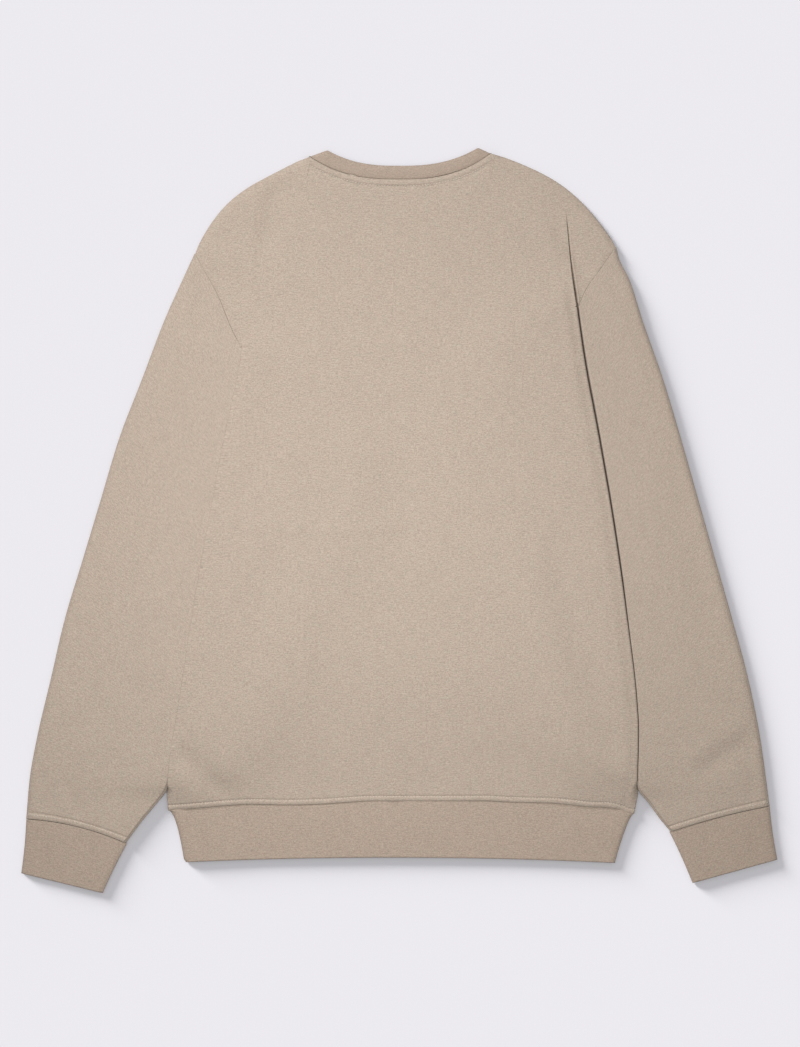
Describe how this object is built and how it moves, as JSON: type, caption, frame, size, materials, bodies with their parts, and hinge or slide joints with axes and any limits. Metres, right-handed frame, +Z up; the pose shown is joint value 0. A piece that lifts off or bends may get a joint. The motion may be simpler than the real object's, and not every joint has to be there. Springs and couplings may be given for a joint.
{
  "type": "crewneck sweatshirt",
  "caption": "Plain crewneck sweatshirt laid flat with its back up, sides folded under, sleeves straight down, ribbed collar, cuffs and hem.",
  "frame": {"origin": "centre of the garment's box on the surface it lies on", "axes": "+X across the garment to the viewer's right, +Y towards the collar, +Z up out of the surface"},
  "size_m": [0.7563, 0.7444, 0.011],
  "materials": {
    "jersey": "matte heather jersey knit",
    "rib": "matte fine rib knit"
  },
  "bodies": {
    "root": {"back": "jersey", "front": "jersey", "sleeve_left": "jersey", "sleeve_right": "jersey", "cuff_left": "rib", "cuff_right": "rib", "hem_band": "rib", "collar": "rib"}
  },
  "joints": []
}
